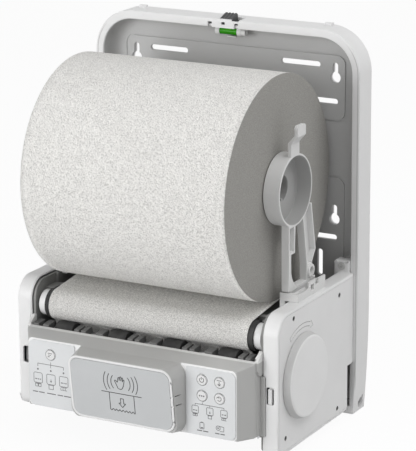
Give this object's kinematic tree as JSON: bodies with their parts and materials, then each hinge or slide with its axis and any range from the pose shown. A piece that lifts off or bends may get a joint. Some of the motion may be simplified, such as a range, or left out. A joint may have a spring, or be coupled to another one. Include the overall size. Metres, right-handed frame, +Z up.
{
  "type": "automatic roll towel dispenser",
  "caption": "Wall tray with a towel roll between sprung arms, a geared feed roller with pinch roller and hand wheel, and a front panel with hand sensor and push buttons.",
  "frame": {"origin": "middle of the tray's bottom edge on the wall plane", "axes": "+X to the right seen from the front, +Y into the wall, +Z up"},
  "size_m": [0.2733, 0.2204, 0.3588],
  "materials": {
    "white": "satin white moulding",
    "pale": "satin pale grey moulding",
    "grey": "satin grey moulding",
    "dark": "fine textured dark grey moulding",
    "label": "printed sheet with pictograms",
    "rubber": "matt black rubber",
    "steel": "drawn steel",
    "paper": "embossed paper towel",
    "card": "wound card",
    "vial": "clear green vial",
    "board": "circuit board",
    "cell": "plain wrapped cell"
  },
  "bodies": {
    "housing": {"back_tray": "white", "level_holder": "pale", "level_vial": "vial", "chassis": "dark", "left_housing": "white", "right_housing": "white", "gear_cover": "white", "gear_cover_screws": "steel", "module_screws": "steel", "gear_pins": "steel", "drive_motor": "steel", "roller_bushes": "pale", "guide_comb": "grey", "chute_plate": "grey", "tear_bar": "steel", "towel_web": "paper", "right_arm_base": "pale", "left_arm_base": "pale", "arm_pins": "steel", "fascia": "grey", "cover_catch": "grey", "roller_guard": "dark", "sensor_bezel": "white", "sensor_plate": "label", "left_label": "label", "right_label": "label", "control_board": "board", "hand_sensor": "dark", "battery_box": "dark", "battery_cells": "cell", "battery_contacts": "steel", "battery_lid": "dark", "cover_switch": "dark"},
    "latch": {"cover_latch": "dark"},
    "roll": {"towel_roll": "paper", "roll_core": "card"},
    "feed_roller": {"feed_sleeve": "rubber", "feed_collars": "white", "feed_shaft": "steel", "roller_gear": "white"},
    "pinch_roller": {"pinch_shaft": "steel", "pinch_tyres": "rubber"},
    "hand_drive": {"hand_wheel": "white", "wheel_gear": "white"},
    "idler": {"compound_gear": "white"},
    "motor_rotor": {"motor_pinion": "steel"},
    "right_arm": {"right_roll_arm": "pale"},
    "left_arm": {"left_roll_arm": "pale"},
    "power_key": {"power_button": "white"},
    "feed_key": {"feed_button": "white"},
    "mode_key": {"mode_button": "white"},
    "return_key": {"return_button": "white"},
    "length_key": {"length_button": "white"},
    "tongue": {"switch_tongue": "white"}
  },
  "joints": [
    {"name": "roll_spin", "type": "hinge", "parent": "housing", "child": "roll", "pos_m": [0, -0.1126, 0.2313], "axis": [1, 0, 0], "continuous": true},
    {"name": "feed_spin", "type": "hinge", "parent": "housing", "child": "feed_roller", "pos_m": [0, -0.1582, 0.1112], "axis": [1, 0, 0], "continuous": true},
    {"name": "pinch_spin", "type": "hinge", "parent": "housing", "child": "pinch_roller", "pos_m": [0, -0.169, 0.08999], "axis": [1, 0, 0], "continuous": true},
    {"name": "hand_wheel_spin", "type": "hinge", "parent": "housing", "child": "hand_drive", "pos_m": [0, -0.12773, 0.07077], "axis": [1, 0, 0], "continuous": true},
    {"name": "idler_spin", "type": "hinge", "parent": "housing", "child": "idler", "pos_m": [0, -0.08251, 0.05431], "axis": [1, 0, 0], "continuous": true},
    {"name": "motor_spin", "type": "hinge", "parent": "housing", "child": "motor_rotor", "pos_m": [0, -0.06689, 0.08137], "axis": [1, 0, 0], "continuous": true},
    {"name": "right_arm_swing", "type": "hinge", "parent": "housing", "child": "right_arm", "pos_m": [0.1134, -0.1, 0.1387], "axis": [0, 1, 0], "range_deg": [0, 10], "stiffness_Nm_per_rad": 1.5, "springref_deg": -8.59},
    {"name": "left_arm_swing", "type": "hinge", "parent": "housing", "child": "left_arm", "pos_m": [-0.1134, -0.1, 0.1387], "axis": [0, -1, 0], "range_deg": [0, 10], "stiffness_Nm_per_rad": 1.5, "springref_deg": -8.59},
    {"name": "latch_slide", "type": "slide", "parent": "housing", "child": "latch", "axis": [1, 0, 0], "range_m": [0, 0.006], "stiffness_N_per_m": 300, "springref_m": -0.003},
    {"name": "power_press", "type": "slide", "parent": "housing", "child": "power_key", "axis": [0, 1, 0], "range_m": [0, 0.0006], "stiffness_N_per_m": 800, "springref_m": -0.0005},
    {"name": "feed_press", "type": "slide", "parent": "housing", "child": "feed_key", "axis": [0, 1, 0], "range_m": [0, 0.0006], "stiffness_N_per_m": 800, "springref_m": -0.0005},
    {"name": "mode_press", "type": "slide", "parent": "housing", "child": "mode_key", "axis": [0, 1, 0], "range_m": [0, 0.0006], "stiffness_N_per_m": 800, "springref_m": -0.0005},
    {"name": "return_press", "type": "slide", "parent": "housing", "child": "return_key", "axis": [0, 1, 0], "range_m": [0, 0.0006], "stiffness_N_per_m": 800, "springref_m": -0.0005},
    {"name": "length_press", "type": "slide", "parent": "housing", "child": "length_key", "axis": [0, 1, 0], "range_m": [0, 0.0006], "stiffness_N_per_m": 800, "springref_m": -0.0005},
    {"name": "cover_switch_press", "type": "slide", "parent": "housing", "child": "tongue", "axis": [0, 1, 0], "range_m": [0, 0.0015], "stiffness_N_per_m": 300, "springref_m": -0.001}
  ],
  "couplings": [
    {"joint": "feed_spin", "follows": "roll_spin", "ratio": -7.4627},
    {"joint": "pinch_spin", "follows": "roll_spin", "ratio": 10.753},
    {"joint": "hand_wheel_spin", "follows": "roll_spin", "ratio": 2.1322},
    {"joint": "idler_spin", "follows": "roll_spin", "ratio": -9.5949},
    {"joint": "motor_spin", "follows": "roll_spin", "ratio": 38.38}
  ]
}
